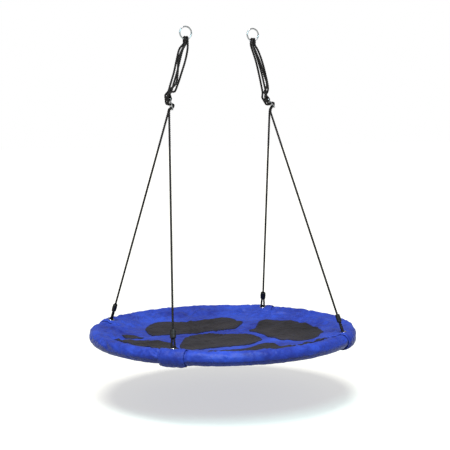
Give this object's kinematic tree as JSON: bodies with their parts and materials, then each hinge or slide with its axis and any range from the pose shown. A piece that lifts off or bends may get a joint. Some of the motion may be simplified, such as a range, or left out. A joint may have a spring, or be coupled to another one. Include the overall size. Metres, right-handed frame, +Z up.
{
  "type": "saucer nest swing",
  "caption": "Round saucer nest swing: padded fabric-covered rim and dished fabric seat, hung by doubled ropes with sliding metal adjusters from two steel rings.",
  "frame": {"origin": "midway between the points inside the tops of the two rings where the beam hooks bear", "axes": "+Z up; +X from the left ring to the right ring, along the swing's axis; +Y from the front of the seat to the back"},
  "size_m": [1.1, 1.1, 1.2822],
  "materials": {
    "ring_steel": "bright zinc-plated steel",
    "grommet_steel": "bright nickel-plated eyelet",
    "tube_steel": "galvanised steel, satin",
    "rope": "black laid polyethylene rope, slight sheen",
    "ferrule_plastic": "black moulded plastic",
    "foam": "matt closed-cell foam",
    "blue_fabric": "royal blue woven oxford polyester, slight sheen",
    "seat_fabric": "woven oxford polyester, dark grey panels on blue"
  },
  "bodies": {
    "hook_rings": {"ring_left": "ring_steel", "ring_right": "ring_steel"},
    "rope_tops": {"rope_bight_left_a": "rope", "rope_bight_left_b": "rope", "rope_bight_right_a": "rope", "rope_bight_right_b": "rope"},
    "strands_left": {"rope_strand_left_run_back": "rope", "rope_strand_left_run_front": "rope", "rope_strand_left_return_front": "rope", "rope_strand_left_return_back": "rope"},
    "adjuster_left": {"adjuster_left": "ring_steel", "rope_loop_left": "rope", "rope_turn_left_front": "rope", "rope_turn_left_back": "rope"},
    "legs_left": {"rope_leg_front_left": "rope", "rope_leg_back_left": "rope", "ferrule_front_left": "ferrule_plastic", "ferrule_back_left": "ferrule_plastic"},
    "strands_right": {"rope_strand_right_run_back": "rope", "rope_strand_right_run_front": "rope", "rope_strand_right_return_front": "rope", "rope_strand_right_return_back": "rope"},
    "adjuster_right": {"adjuster_right": "ring_steel", "rope_loop_right": "rope", "rope_turn_right_front": "rope", "rope_turn_right_back": "rope"},
    "legs_right": {"rope_leg_front_right": "rope", "rope_leg_back_right": "rope", "ferrule_front_right": "ferrule_plastic", "ferrule_back_right": "ferrule_plastic"},
    "seat": {"rope_eye_front_left": "rope", "grommet_front_left": "grommet_steel", "rope_eye_back_left": "rope", "grommet_back_left": "grommet_steel", "rope_eye_front_right": "rope", "grommet_front_right": "grommet_steel", "rope_eye_back_right": "rope", "grommet_back_right": "grommet_steel", "rim_tube_right_back": "tube_steel", "rim_tube_back_left": "tube_steel", "rim_tube_left_front": "tube_steel", "rim_tube_front_right": "tube_steel", "rim_screw_1": "tube_steel", "rim_screw_2": "tube_steel", "rim_screw_3": "tube_steel", "rim_screw_4": "tube_steel", "foam_sleeve_back": "foam", "foam_sleeve_left": "foam", "foam_sleeve_front": "foam", "foam_sleeve_right": "foam", "rim_cover": "blue_fabric", "reinforcing_band_front_left": "blue_fabric", "reinforcing_band_back_left": "blue_fabric", "reinforcing_band_front_right": "blue_fabric", "reinforcing_band_back_right": "blue_fabric", "seat_panel": "seat_fabric"}
  },
  "joints": [
    {"name": "swing", "type": "hinge", "parent": "hook_rings", "child": "rope_tops", "pos_m": [0, 0, -0.047], "axis": [1, 0, 0], "range_deg": [-45, 45]},
    {"name": "sway_left", "type": "hinge", "parent": "rope_tops", "child": "strands_left", "pos_m": [-0.1495, 0, -0.0535], "axis": [0, 1, 0], "range_deg": [-10, 10]},
    {"name": "sway_right", "type": "hinge", "parent": "rope_tops", "child": "strands_right", "pos_m": [0.1495, 0, -0.0535], "axis": [0, 1, 0], "range_deg": [-10, 10]},
    {"name": "adjuster_left_slide", "type": "slide", "parent": "strands_left", "child": "adjuster_left", "axis": [0.2627, 0, 0.9649], "range_m": [-0.06, 0.12], "deforming": ["rope_strand_left_run_back", "rope_strand_left_run_front", "rope_strand_left_return_front", "rope_strand_left_return_back"]},
    {"name": "adjuster_right_slide", "type": "slide", "parent": "strands_right", "child": "adjuster_right", "axis": [-0.2627, 0, 0.9649], "range_m": [-0.06, 0.12], "deforming": ["rope_strand_right_run_back", "rope_strand_right_run_front", "rope_strand_right_return_front", "rope_strand_right_return_back"]},
    {"name": "legs_left_pay_out", "type": "slide", "parent": "adjuster_left", "child": "legs_left", "axis": [-0.1221, 0, -0.9925], "range_m": [-0.13, 0.26], "deforming": ["rope_leg_front_left", "rope_leg_back_left"]},
    {"name": "legs_right_pay_out", "type": "slide", "parent": "adjuster_right", "child": "legs_right", "axis": [0.1221, 0, -0.9925], "range_m": [-0.13, 0.26], "deforming": ["rope_leg_front_right", "rope_leg_back_right"]},
    {"name": "seat_tilt", "type": "hinge", "parent": "legs_left", "child": "seat", "pos_m": [-0.3594, 0, -1.1841], "axis": [0, 1, 0], "range_deg": [-4.2, 4.2]}
  ],
  "couplings": [
    {"joint": "sway_right", "follows": "sway_left", "ratio": 1},
    {"joint": "seat_tilt", "follows": "sway_left", "ratio": -0.41597},
    {"joint": "adjuster_right_slide", "follows": "adjuster_left_slide", "ratio": 1},
    {"joint": "legs_left_pay_out", "follows": "adjuster_left_slide", "ratio": 2.1521},
    {"joint": "legs_right_pay_out", "follows": "adjuster_left_slide", "ratio": 2.1521}
  ]
}
